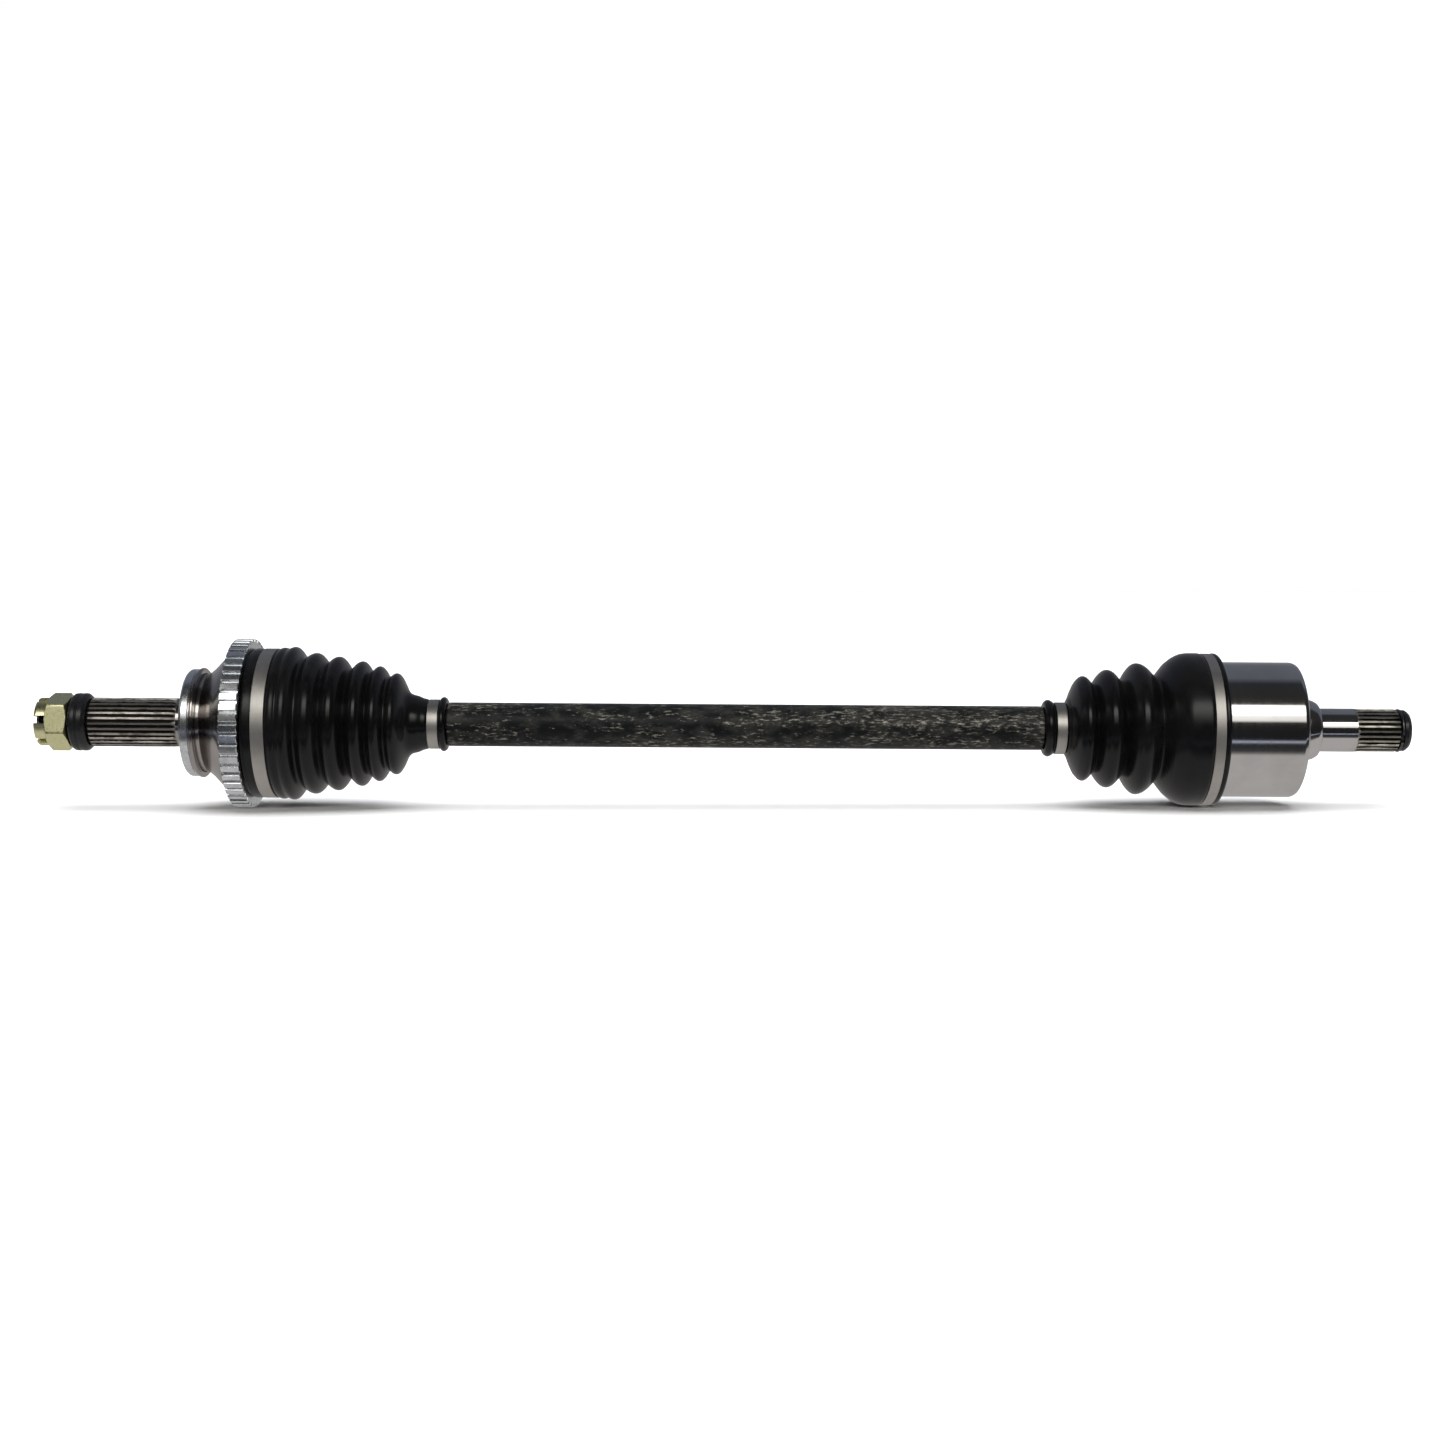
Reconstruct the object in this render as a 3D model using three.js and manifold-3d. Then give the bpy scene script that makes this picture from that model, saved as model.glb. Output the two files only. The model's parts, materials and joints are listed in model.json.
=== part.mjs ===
// A front-wheel-drive half shaft: splined wheel stub and outer ball joint, shaft, and inner tripod joint.
// Millimetres, +Z up. The shaft's centreline is the X axis; -X is the wheel end, +X the transmission end.
import * as THREE from "three";
import { mergeVertices } from "three/addons/utils/BufferGeometryUtils.js";
import Module from "manifold-3d";

const wasm = await Module();
wasm.setup();

// ---------------------------------------------------------------- driving dimensions
const HALF_LENGTH = 408.3; // half of the overall length, so the origin is the centre of the box
const GAP = 0.3; // clearance between neighbouring pieces
const SEG = 36; // sides of the bell and the housing; a multiple of four keeps the box centred
const TRIM = 28; // sides of the other round pieces

const OUTER_PIVOT = -280; // centre of the outer ball joint
const BALL_COUNT = 6;
const BALL_R = 7.94;
const BALL_CIRCLE_R = 28.5;
const TRACK_R = 10.1; // corner radius of the eight-sided ball track
const BALL_FIRST_DEG = 30; // so that two balls lie on the vertical axis
const CAGE_OUT_R = 33.2;
const CAGE_IN_R = 29.2;
const CAGE_HALF = 12;
const BELL_CAVITY_R = 33.8;
const RACE_R = 28.8;
const RACE_HALF = 12;

const NUT_FLATS = 30;
const NUT_TURN_DEG = 9; // one flat faces the front, turned this far upwards
const THREAD_R = 10.9;
const STUB_TEETH = 28;
const STUB_ROOT_R = 13.4;
const STUB_TIP_R = 14.6;

const TONE_TEETH = 50;
const TONE_TIP_R = 50;
const TONE_ROOT_R = 47.6;
const TONE_SEAT_R = 43.4;

const BAR_R = 13.1;
const BAR_NECK_R = 11.5; // at the boot seats
const BAR_WAIST_R = 10.2; // inside the outer boot, so that its folds have room to swing
const BAR_SPLINE_R = 11.9;

const INNER_PIVOT = 308; // centre of the tripod spider
const ROLLER_R = 14.5;
const ROLLER_IN = 17.5; // nearest and farthest reach of a roller along its trunnion
const ROLLER_OUT = 28.5;
const ROLLER_BORE_R = 10.3;
const TRUNNION_R = 7.8;
const TRUNNION_REACH = 30.6;
const HOUSING_R = 40.26;
const HOUSING_MOUTH = 283;
const HOUSING_FLOOR = 336.6;
const CHANNEL_HALF = 15.8;
const CHANNEL_REACH = 33.6;
const CHANNEL_CORNER_R = 36.4;
const HOUSING_BORE_R = 21;
const DIFF_TEETH = 26;
const DIFF_ROOT_R = 11.5;
const DIFF_TIP_R = 12.7;

// ---------------------------------------------------------------- helpers
const rad = THREE.MathUtils.degToRad;

// A closed geometry as a solid that faces out.
function solid(geometry) {
  const bare = geometry.clone();
  bare.deleteAttribute("normal");
  bare.deleteAttribute("uv");
  const merged = mergeVertices(bare, 1e-4);
  const source = merged.index.array;
  const build = (flip) => {
    const triangles = [];
    for (let i = 0; i < source.length; i += 3) {
      const [a, b, c] = [source[i], source[i + 1], source[i + 2]];
      if (a !== b && b !== c && c !== a) triangles.push(a, flip ? c : b, flip ? b : c);
    }
    return new wasm.Manifold(
      new wasm.Mesh({
        numProp: 3,
        vertProperties: new Float32Array(merged.attributes.position.array),
        triVerts: new Uint32Array(triangles),
      }),
    );
  };
  const made = build(false);
  return made.volume() < 0 ? build(true) : made;
}

// A profile of [x, radius] pairs turned about the X axis.
function turned(profile, sides = TRIM) {
  const points = profile.map(([x, r]) => new THREE.Vector2(r, x));
  return solid(new THREE.LatheGeometry(points, sides).rotateZ(-Math.PI / 2));
}

// The same for a ring, whose profile closes on itself.
function ring(profile, sides = TRIM) {
  return turned([...profile, profile[0]], sides);
}

// A ring about the X axis with square edges.
function band(x0, x1, inner, outer, sides = TRIM) {
  return ring([[x0, inner], [x0, outer], [x1, outer], [x1, inner]], sides);
}

// A plain cylinder along X.
function rod(x0, x1, radius, sides = TRIM) {
  return turned([[x0, 0], [x0, radius], [x1, radius], [x1, 0]], sides);
}

// A block of full size [x, y, z] centred on a point.
function block(size, centre) {
  return solid(new THREE.BoxGeometry(...size).translate(...centre));
}

// A solid turned about the X axis, from +Y towards +Z, by an angle in degrees.
const spun = (body, degrees) => body.rotate([degrees, 0, 0]);

// Angles of equal steps round the axis.
const steps = (count, first = 0) =>
  Array.from({ length: count }, (_, i) => first + (360 * i) / count);

// A toothed outline about the X axis: share is the part of one pitch taken by tip and by root.
function toothed(teeth, root, tip, x0, x1, tipShare, rootShare, holeR) {
  const outline = [];
  const pitch = (2 * Math.PI) / teeth;
  for (let i = 0; i < teeth; i++) {
    const corners = [
      [-(1 - rootShare) / 2, root],
      [-tipShare / 2, tip],
      [tipShare / 2, tip],
      [(1 - rootShare) / 2, root],
    ];
    for (const [at, r] of corners) {
      const a = (i + at) * pitch;
      outline.push(new THREE.Vector2(r * Math.cos(a), r * Math.sin(a)));
    }
  }
  const shape = new THREE.Shape(outline);
  if (holeR) {
    const hole = steps(SEG).map(
      (d) => new THREE.Vector2(holeR * Math.cos(rad(d)), holeR * Math.sin(rad(d))),
    );
    shape.holes.push(new THREE.Path(hole));
  }
  const made = new THREE.ExtrudeGeometry(shape, {
    depth: x1 - x0,
    bevelEnabled: false,
  });
  // The outline's plane becomes YZ and its depth runs along +X.
  return solid(
    made.applyMatrix4(
      new THREE.Matrix4().set(0, 0, 1, x0, 1, 0, 0, 0, 0, 1, 0, 0, 0, 0, 0, 1),
    ),
  );
}

// The ball track in the plane of one ball: a ring of round section about the joint's centre.
function track(degrees, from, to) {
  const torus = new THREE.TorusGeometry(BALL_CIRCLE_R, TRACK_R, 8, 24);
  const whole = solid(torus.translate(OUTER_PIVOT, 0, 0));
  // The torus lies in XY; only its half on the +Y side is the track of this ball.
  const keep = block([to - from, 60, 40], [(from + to) / 2, 30, 0]);
  return spun(whole.intersect(keep), degrees);
}

// A sphere about the outer joint's centre, cut to a width, as a profile from one side to the other.
function ballProfile(radius, half, count) {
  const first = Math.acos(half / radius);
  return Array.from({ length: count }, (_, i) => {
    const a = first + ((Math.PI - 2 * first) * i) / (count - 1);
    return [OUTER_PIVOT - radius * Math.cos(a), radius * Math.sin(a)];
  });
}

// ---------------------------------------------------------------- materials
const steel = { color: 0x8f8f8d, metalness: 1, roughness: 0.32 };
const looks = {
  zinc_yellow: { color: 0xc9c48a, metalness: 0.9, roughness: 0.4 },
  black_steel: { color: 0x17171a, metalness: 0.5, roughness: 0.35 },
  machined_steel: steel,
  zinc_bright: { color: 0xc4c8ca, metalness: 1, roughness: 0.3 },
  rubber: { color: 0x101010, metalness: 0, roughness: 0.5 },
  stainless: { color: 0xa8a49a, metalness: 1, roughness: 0.4 },
  shaft_steel: { color: 0x2c2a28, metalness: 0.6, roughness: 0.5 },
  bearing_steel: { color: 0xb4b6b8, metalness: 1, roughness: 0.15 },
  spring_steel: { color: 0x3a3a3c, metalness: 0.9, roughness: 0.35 },
};
const materials = Object.fromEntries(
  Object.entries(looks).map(([name, look]) => {
    const material = new THREE.MeshStandardMaterial(look);
    material.name = name;
    return [name, material];
  }),
);

const part = new THREE.Group();
part.name = "cv_axle";

// Adds one closed body as a named node.
function node(name, look, body) {
  const mesh = body.getMesh();
  const geometry = new THREE.BufferGeometry();
  const at = new Float32Array(mesh.numVert * 3);
  for (let i = 0; i < mesh.numVert; i++) {
    for (let k = 0; k < 3; k++) at[3 * i + k] = mesh.vertProperties[i * mesh.numProp + k];
  }
  geometry.setAttribute("position", new THREE.BufferAttribute(at, 3));
  geometry.setIndex(new THREE.BufferAttribute(new Uint32Array(mesh.triVerts), 1));
  const flat = geometry.toNonIndexed();
  flat.computeVertexNormals();
  const made = new THREE.Mesh(flat, materials[look]);
  made.name = name;
  part.add(made);
}

// ---------------------------------------------------------------- wheel stub fasteners
const NUT_X0 = -HALF_LENGTH;
const HEX_X0 = -401.4;
const HEX_X1 = -388.8;
const hexCorner = NUT_FLATS / 2 / Math.cos(Math.PI / 6);
const hexBody = solid(
  new THREE.CylinderGeometry(hexCorner, hexCorner, HEX_X1 - HEX_X0, 6)
    .rotateZ(-Math.PI / 2)
    .translate((HEX_X0 + HEX_X1) / 2, 0, 0),
);
const hexChamfer = turned([
  [HEX_X0, 0], [HEX_X0, 15.2], [HEX_X0 + 1.3, 17.5], [HEX_X1 - 1.3, 17.5], [HEX_X1, 15.2], [HEX_X1, 0],
]);
const crown = turned([
  [NUT_X0, 0], [NUT_X0, 12.9], [NUT_X0 + 1.6, 14.3], [HEX_X0 + 1, 14.3], [HEX_X0 + 1, 0],
]);
let nut = hexBody.intersect(hexChamfer).add(crown);
nut = nut.subtract(rod(NUT_X0 - 1, HEX_X1 + 1, THREAD_R + GAP));
for (const angle of steps(3)) {
  nut = nut.subtract(spun(block([7.6, 40, 4.6], [NUT_X0 + 2.8, 0, 0]), angle));
}
node("castle_nut", "zinc_yellow", spun(nut, -NUT_TURN_DEG));

node("nut_washer", "black_steel", ring([
  [-388.4, THREAD_R + 0.4], [-388.4, 14.4], [-386.2, 17.2], [-383.4, 17.2], [-382.8, 16.6],
  [-382.2, 17.2], [-379.6, 17.2], [-377.3, 15.3], [-377.3, THREAD_R + 0.4],
]));

// ---------------------------------------------------------------- outer joint bell with its splined stub
const cavity = Array.from({ length: 8 }, (_, i) => {
  const a = rad(72.8 + ((180 - 72.8) * i) / 7);
  return [OUTER_PIVOT + BELL_CAVITY_R * Math.cos(a), i === 7 ? 0 : BELL_CAVITY_R * Math.sin(a)];
});
let bell = turned([
  [-407.4, 0], [-407.4, 9.8], [-406.3, THREAD_R], [-377, THREAD_R], [-377, STUB_ROOT_R],
  [-325.2, STUB_ROOT_R], [-323.4, 14.4], [-318.3, 14.4], [-318.3, 29.2], [-305.8, 29.2], [-304, 30.9],
  [-301.5, 32.9], [-299, 35.5], [-296, 38.6], [-293.2, 41.6], [-290.6, TONE_SEAT_R],
  [-279.5, TONE_SEAT_R], [-279.5, 41], [-262.6, 41], [-262, 40.4], [-262, 36.9], ...cavity,
], SEG);
bell = bell.add(toothed(STUB_TEETH, STUB_ROOT_R - 0.1, STUB_TIP_R, -376.9, -326, 0.36, 0.4));
for (const angle of steps(BALL_COUNT, BALL_FIRST_DEG)) {
  bell = bell.subtract(track(angle, OUTER_PIVOT - 19.2, OUTER_PIVOT + 30));
}
const cotterHole = solid(new THREE.CylinderGeometry(1.9, 1.9, 40, 12).translate(-404.2, 0, 0));
bell = bell.subtract(spun(cotterHole, -NUT_TURN_DEG));
node("outer_bell", "machined_steel", bell);

node("dust_ring", "zinc_bright", ring([
  [-317.8, 29.5], [-317.8, 31], [-316.6, 32], [-312.8, 32], [-312.3, 31.3], [-311.7, 31.3],
  [-311.3, 32.7], [-309.8, 32.7], [-309, 31.9], [-309, 29.5],
]));

node("tone_ring", "zinc_bright", toothed(
  TONE_TEETH, TONE_ROOT_R, TONE_TIP_R, -290.2, -279.6, 0.46, 0.34, TONE_SEAT_R + GAP,
));

// ---------------------------------------------------------------- outer boot and its clamps
// A fold's crest as three points, flanked by the valleys given between them.
const crest = (x, r, half = 2, drop = 0.9) => [[x - half, r - drop], [x, r], [x + half, r - drop]];
node("outer_boot", "rubber", ring([
  [-279.2, 41.3], [-279.2, 43.9], [-278.5, 44.7], [-273.7, 44.7], [-273.4, 43.5], [-264.8, 43.5],
  [-264.2, 44.7], [-261.6, 45.1], [-259, 44.4],
  ...crest(-255.4, 45.6), [-250, 39.2], ...crest(-242.5, 42.1), [-236.2, 36.2],
  ...crest(-229.3, 40.1), [-222.4, 32.4], ...crest(-215.2, 37.3), [-209.8, 31],
  ...crest(-205, 34.4, 1.7), [-199.4, 28.2], ...crest(-194.8, 30.3, 1.6),
  [-188.6, 21.2], [-186, 17.9], [-181.2, 16.6], [-179.2, 15.2], [-176.1, 15], [-175.9, 13.7],
  [-168.8, 13.7], [-168.4, 15.4], [-166.6, 16.2], [-165, 15.6], [-164.5, 14.4],
  [-164.5, 11.8], [-180.5, 11.8], [-184.6, 14.2], [-190, 20.8], [-195, 27.2], [-199.4, 25.8],
  [-205, 31.4], [-209.8, 28.6], [-215.2, 34.4], [-222.4, 30], [-229.3, 37.2], [-236.2, 33.8],
  [-242.5, 39.2], [-250, 36.8], [-256, 42.8], [-262.4, 41.3],
]));

// A clamp band with its pinched ear standing at the back of the shaft.
function clamp(name, x0, x1, inner, thickness, ear) {
  const outer = inner + thickness;
  const middle = (x0 + x1) / 2;
  const width = x1 - x0 - 1;
  const hoop = block([width, ear, 2 * ear * 0.7], [middle, outer + ear / 2 - 0.6, 0]);
  const slot = block([width + 2, 0.9, ear * 0.9], [middle, outer + ear * 0.42, 0]);
  node(name, "stainless", band(x0, x1, inner, outer).add(hoop).subtract(slot));
}
clamp("outer_clamp_large", -273, -265.2, 43.8, 0.8, 3.4);
clamp("outer_clamp_small", -175.6, -169.1, 14, 0.8, 2.8);
clamp("inner_clamp_small", 197.5, 203.6, 14.7, 0.8, 2.8);
clamp("inner_clamp_large", 284, 291, 44.5, 0.8, 3.4);

// ---------------------------------------------------------------- outer joint: race, cage, balls
let race = ring([
  [OUTER_PIVOT - RACE_HALF, BAR_SPLINE_R + GAP], ...ballProfile(RACE_R, RACE_HALF, 5),
  [OUTER_PIVOT + RACE_HALF, BAR_SPLINE_R + GAP],
]);
let cage = ring([
  ...ballProfile(CAGE_OUT_R, CAGE_HALF, 5), ...ballProfile(CAGE_IN_R, CAGE_HALF, 5).reverse(),
]);
for (const angle of steps(BALL_COUNT, BALL_FIRST_DEG)) {
  race = race.subtract(track(angle, OUTER_PIVOT - 20, OUTER_PIVOT + 20));
  const window = block([2 * BALL_R + 0.7, 20, 20.4], [OUTER_PIVOT, 31, 0]);
  cage = cage.subtract(spun(window, angle));
}
node("outer_race", "bearing_steel", race);
node("outer_cage", "bearing_steel", cage);
steps(BALL_COUNT, BALL_FIRST_DEG).forEach((angle, i) => {
  const ball = solid(new THREE.SphereGeometry(BALL_R, 12, 8));
  node("outer_ball_" + (i + 1), "bearing_steel", ball.translate([
    OUTER_PIVOT, BALL_CIRCLE_R * Math.cos(rad(angle)), BALL_CIRCLE_R * Math.sin(rad(angle)),
  ]));
});

// An open ring in a groove of the shaft.
function openRing(name, x0, x1, inner, outer, openDeg) {
  const gap = block([x1 - x0 + 2, outer * 1.2, 3], [(x0 + x1) / 2, outer * 0.6 + 1, 0]);
  node(name, "spring_steel", band(x0, x1, inner, outer, 24).subtract(spun(gap, openDeg)));
}
openRing("race_circlip", -293.9, -292.7, 10.3, 13.4, 90);

// ---------------------------------------------------------------- shaft
node("axle_bar", "shaft_steel", turned([
  [-296.5, 0], [-296.5, 10.8], [-295.4, BAR_SPLINE_R], [-294.2, BAR_SPLINE_R], [-294.2, 10],
  [-292.4, 10], [-292.4, BAR_SPLINE_R], [-267.7, BAR_SPLINE_R], [-267.7, 13.8], [-265.4, 13.8],
  [-262.6, BAR_WAIST_R], [-186, BAR_WAIST_R], [-183, BAR_NECK_R], [-164.2, BAR_NECK_R],
  [-164.2, 12.7], [-163.6, BAR_R],
  [189.9, BAR_R], [190.5, 12.7], [190.5, BAR_NECK_R], [292.6, BAR_NECK_R], [295.2, 13.6],
  [297.8, 13.6], [297.8, BAR_SPLINE_R], [318.3, BAR_SPLINE_R], [318.3, 10], [320.1, 10],
  [320.1, BAR_SPLINE_R], [321.6, BAR_SPLINE_R], [322.6, 10.9], [322.6, 0],
]));

// ---------------------------------------------------------------- inner boot
node("inner_boot", "rubber", ring([
  [190.8, 11.8], [190.8, 14.6], [191.6, 16.2], [193.8, 16.9], [196.2, 16.2], [196.9, 15.7],
  [197.2, 14.4], [203.9, 14.4], [204.2, 16.2], [205.6, 18.6], [207.6, 23.4], [210, 28.2],
  ...crest(214.3, 31.3, 1.8), [219.9, 26.8], ...crest(228.6, 35.2, 2.4, 1.3), [236.7, 28.6],
  ...crest(246, 39.2, 2.6, 1.3), [256.8, 31.4], [261.6, 37.5], [267.3, 42.5], [271.5, 44.8],
  [275, 45.5], [283.3, 45.5], [283.7, 44.2], [291.3, 44.2], [291.6, 44.9], [293, 44.6],
  [293.4, 43.8], [293.4, 40.6], [282, 40.6], [275, 42.6], [268, 40.2], [256.8, 28.8],
  [246, 36.4], [236.7, 26.2], [228.6, 32.4], [219.9, 24.4], [213.8, 28.2], [209.6, 23.8],
  [206.4, 14.6], [204.8, 11.8],
]));

// ---------------------------------------------------------------- inner joint housing with its stub
let housing = turned([
  [HOUSING_MOUTH, 0], [HOUSING_MOUTH, HOUSING_R - 0.6], [HOUSING_MOUTH + 0.6, HOUSING_R],
  [337.6, HOUSING_R], [339.6, 39.4], [340.3, 37.6], [340.3, 20.2], [341.2, 19.4], [346.4, 18.8],
  [351, 17.6], [353.2, 16.4], [354, 15.6], [354, 12.95], [377, 12.95], [377, DIFF_ROOT_R],
  [401.6, DIFF_ROOT_R], [401.6, 10.6], [404, 10.6], [404, 12.3], [406.2, 12.3],
  [HALF_LENGTH, 10.6], [HALF_LENGTH, 3], [405.6, 0],
], SEG);
housing = housing.add(toothed(DIFF_TEETH, DIFF_ROOT_R - 0.1, DIFF_TIP_R, 376.5, 401.4, 0.36, 0.4));
housing = housing.subtract(rod(HOUSING_MOUTH - 1, HOUSING_FLOOR, HOUSING_BORE_R));
const corners = rod(HOUSING_MOUTH - 1, HOUSING_FLOOR, CHANNEL_CORNER_R);
const depth = HOUSING_FLOOR - HOUSING_MOUTH + 1;
for (const angle of steps(3)) {
  const channel = block(
    [depth, CHANNEL_REACH, 2 * CHANNEL_HALF],
    [HOUSING_MOUTH - 1 + depth / 2, CHANNEL_REACH / 2, 0],
  );
  housing = housing.subtract(spun(channel.intersect(corners), angle));
}
node("tripod_housing", "machined_steel", housing);
openRing("stub_circlip", 402, 403.6, 10.9, 12.95, 200);

// ---------------------------------------------------------------- inner joint: spider, rollers
// A ring round the first trunnion, which points along +Y, from its profile of [reach, radius] pairs.
const onTrunnion = (profile, sides) => ring(profile, sides)
  .rotate([0, 0, 90])
  .translate([INNER_PIVOT, 0, 0]);

let spider = band(298.2, 317.8, BAR_SPLINE_R + GAP, 17);
steps(3).forEach((angle, i) => {
  const trunnion = turned([
    [14, 0], [14, TRUNNION_R], [28.9, TRUNNION_R], [28.9, 6.6], [30.1, 6.6], [30.1, TRUNNION_R],
    [TRUNNION_REACH, 7.2], [TRUNNION_REACH, 0],
  ], 20).rotate([0, 0, 90]).translate([INNER_PIVOT, 0, 0]);
  spider = spider.add(spun(trunnion, angle));
  const roller = onTrunnion([
    [ROLLER_IN, ROLLER_BORE_R], [ROLLER_IN, 13], [ROLLER_IN + 2, ROLLER_R], [ROLLER_OUT - 2, ROLLER_R],
    [ROLLER_OUT, 13], [ROLLER_OUT, ROLLER_BORE_R],
  ], 20);
  const needles = onTrunnion([
    [ROLLER_IN + 0.4, TRUNNION_R + GAP], [ROLLER_IN + 0.4, ROLLER_BORE_R - GAP],
    [ROLLER_OUT - 0.2, ROLLER_BORE_R - GAP], [ROLLER_OUT - 0.2, TRUNNION_R + GAP],
  ], 20);
  const washer = onTrunnion([[29.1, 6.9], [29.1, 10.4], [29.9, 10.4], [29.9, 6.9]], 20);
  node("tripod_roller_" + (i + 1), "bearing_steel", spun(roller, angle));
  node("roller_needles_" + (i + 1), "bearing_steel", spun(needles, angle));
  node("roller_clip_" + (i + 1), "spring_steel", spun(washer, angle));
});
spider = spider.subtract(rod(297, 319, BAR_SPLINE_R + GAP));
node("tripod_spider", "bearing_steel", spider);
openRing("spider_circlip", 318.6, 319.8, 10.3, 13.4, 60);

export default part;
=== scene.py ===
import json
import math

import bpy
import bmesh
import numpy as np
from mathutils import Matrix, Vector


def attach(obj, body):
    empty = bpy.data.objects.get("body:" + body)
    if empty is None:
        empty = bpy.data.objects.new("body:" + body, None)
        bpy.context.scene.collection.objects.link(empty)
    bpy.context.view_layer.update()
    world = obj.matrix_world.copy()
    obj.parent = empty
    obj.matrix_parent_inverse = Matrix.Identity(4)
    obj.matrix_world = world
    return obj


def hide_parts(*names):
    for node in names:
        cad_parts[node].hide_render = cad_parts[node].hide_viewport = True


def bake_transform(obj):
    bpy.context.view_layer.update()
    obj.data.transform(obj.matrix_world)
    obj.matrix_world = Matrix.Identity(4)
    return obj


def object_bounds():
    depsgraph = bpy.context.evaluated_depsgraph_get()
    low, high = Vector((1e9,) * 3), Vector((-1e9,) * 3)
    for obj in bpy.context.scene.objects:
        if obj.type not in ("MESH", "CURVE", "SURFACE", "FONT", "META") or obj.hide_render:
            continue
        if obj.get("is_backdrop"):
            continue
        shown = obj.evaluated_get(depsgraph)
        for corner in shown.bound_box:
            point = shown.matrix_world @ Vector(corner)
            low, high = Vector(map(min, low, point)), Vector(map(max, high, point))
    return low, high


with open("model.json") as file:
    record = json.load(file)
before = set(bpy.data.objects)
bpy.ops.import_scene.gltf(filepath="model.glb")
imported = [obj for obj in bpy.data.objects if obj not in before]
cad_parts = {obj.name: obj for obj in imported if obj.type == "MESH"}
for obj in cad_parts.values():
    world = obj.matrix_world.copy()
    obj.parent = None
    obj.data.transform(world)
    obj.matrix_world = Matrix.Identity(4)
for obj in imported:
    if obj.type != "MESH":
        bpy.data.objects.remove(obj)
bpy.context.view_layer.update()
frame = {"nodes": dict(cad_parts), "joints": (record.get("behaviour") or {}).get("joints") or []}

MM = 0.001
TAU = 2 * math.pi
SIDES = 128                     # round pieces
WELD = 1e-7                     # vertices closer than this, in metres, are one
scene = bpy.context.scene


def pivot(joint):
    return Vector(next(j["pos_m"] for j in frame["joints"] if j["name"] == joint))


OUTER_X = pivot("outer_steer").x / MM
LOW, HIGH = (c.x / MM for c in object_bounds())

# Splines at the hub and at the transmission: number of teeth, radius at the root and at the tip.
HUB_TEETH, HUB_ROOT, HUB_TIP = 28, 13.4, 14.6
DIFF_TEETH, DIFF_ROOT, DIFF_TIP = 26, 11.5, 12.7
# Places across one spline tooth, in pitches from its middle, and the share of its height there.
SPLINE_MARKS = (-0.5, -0.33, -0.27, -0.22, -0.17, 0.0, 0.17, 0.22, 0.27, 0.33)
SPLINE_HEIGHTS = (0.0, 0.03, 0.22, 0.8, 1.0, 1.0, 1.0, 0.8, 0.22, 0.03)


# ------------------------------------------------------------------ meshes
def soften(profile, width=0.35, steps=3, limit=18, closed=False):
    """The profile with each corner sharper than limit degrees rounded off over about width."""
    pts = [Vector((x, r)) for x, r in profile]
    out = []
    n = len(pts)
    for i, p in enumerate(pts):
        if not closed and i in (0, n - 1):
            out.append(p)
            continue
        a, b = pts[i - 1] - p, pts[(i + 1) % n] - p
        if a.length < 1e-6 or b.length < 1e-6:
            out.append(p)
            continue
        turn = 180 - math.degrees(a.angle(b))
        if turn < limit:
            out.append(p)
            continue
        w = min(width, 0.45 * a.length, 0.45 * b.length)
        q0, q1 = p + a.normalized() * w, p + b.normalized() * w
        for k in range(steps + 1):
            t = k / steps
            out.append(q0 * (1 - t) ** 2 + p * 2 * t * (1 - t) + q1 * t * t)
    return [(p.x, p.y) for p in out]


def evaluate(value, angles):
    return value(angles) if callable(value) else np.full(len(angles), float(value))


def lathe(name, rows, angles=None, closed=False, sharp=32):
    """A surface of rows (x, radius) in mm about the X axis; either may be a function of the angle
    from +Y towards +Z. A row of radius 0 is one point. closed joins the last row to the first."""
    if angles is None:
        angles = np.arange(SIDES) * TAU / SIDES
    n = len(angles)
    verts, rings = [], []
    for x, r in rows:
        if not callable(r) and r <= 1e-6:
            rings.append([len(verts)] * n)
            verts.append((evaluate(x, angles[:1])[0] * MM, 0.0, 0.0))
            continue
        xs, rs = evaluate(x, angles), evaluate(r, angles)
        rings.append(list(range(len(verts), len(verts) + n)))
        verts += zip(xs * MM, rs * np.cos(angles) * MM, rs * np.sin(angles) * MM)
    faces = []
    pairs = list(zip(rings, rings[1:])) + ([(rings[-1], rings[0])] if closed else [])
    for a, b in pairs:
        for i in range(n):
            j = (i + 1) % n
            corner = []
            for v in (a[i], a[j], b[j], b[i]):
                if v not in corner:
                    corner.append(v)
            if len(corner) > 2:
                faces.append(corner)
    return finished(name, verts, faces, sharp)


def finished(name, verts, faces, sharp=32):
    mesh = bpy.data.meshes.new(name)
    mesh.from_pydata([tuple(map(float, v)) for v in verts], [], faces)
    bm = bmesh.new()
    bm.from_mesh(mesh)
    bmesh.ops.remove_doubles(bm, verts=bm.verts, dist=WELD)
    bmesh.ops.recalc_face_normals(bm, faces=bm.faces)
    bm.to_mesh(mesh)
    bm.free()
    mesh.shade_smooth()
    mesh.set_sharp_from_angle(angle=math.radians(sharp))
    obj = bpy.data.objects.new(name, mesh)
    scene.collection.objects.link(obj)
    return obj


def merged(name, *objs, sharp=32):
    """The objects as one mesh, with their materials dropped."""
    bm = bmesh.new()
    for o in objs:
        bm.from_mesh(o.data)
        bpy.data.objects.remove(o)
    mesh = bpy.data.meshes.new(name)
    bm.to_mesh(mesh)
    bm.free()
    mesh.shade_smooth()
    mesh.set_sharp_from_angle(angle=math.radians(sharp))
    obj = bpy.data.objects.new(name, mesh)
    scene.collection.objects.link(obj)
    return obj


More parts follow.
